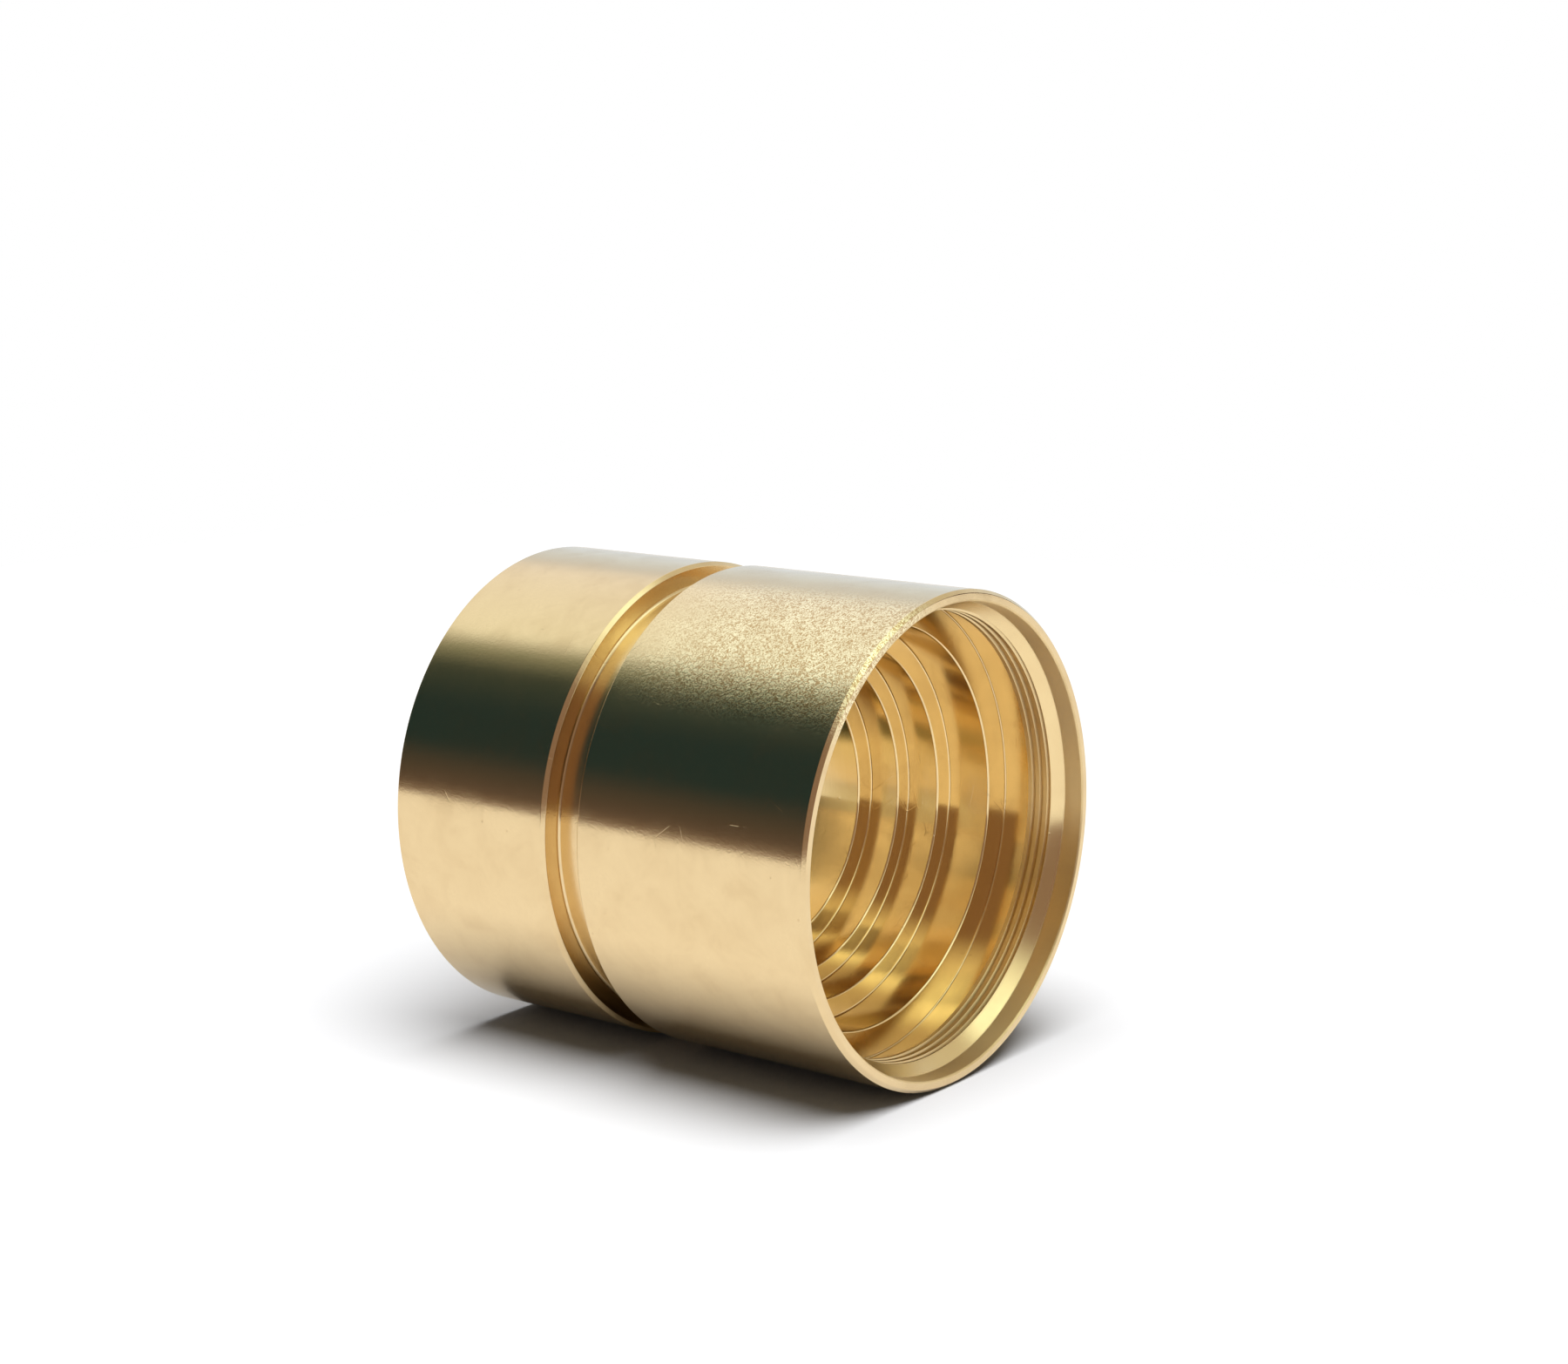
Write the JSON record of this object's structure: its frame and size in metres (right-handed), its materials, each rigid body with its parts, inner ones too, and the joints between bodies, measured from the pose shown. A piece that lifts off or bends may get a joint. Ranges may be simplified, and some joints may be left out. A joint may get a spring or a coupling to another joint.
{
  "type": "turned brass sleeve",
  "caption": "Short round brass sleeve with a ring groove outside, a fine internal thread at the mouth, a bore that steps down to a through hole and a plain wide bore behind it.",
  "frame": {"origin": "centre of the back face, which the sleeve stands on", "axes": "+Z along the turning axis from the back face to the mouth; X and Y are free, as the form is round"},
  "size_m": [0.027, 0.027, 0.0283],
  "materials": {
    "brass": "bright as turned, with fine tool marks and handling scratches"
  },
  "bodies": {
    "root": {"turned_sleeve": "brass"}
  },
  "joints": []
}
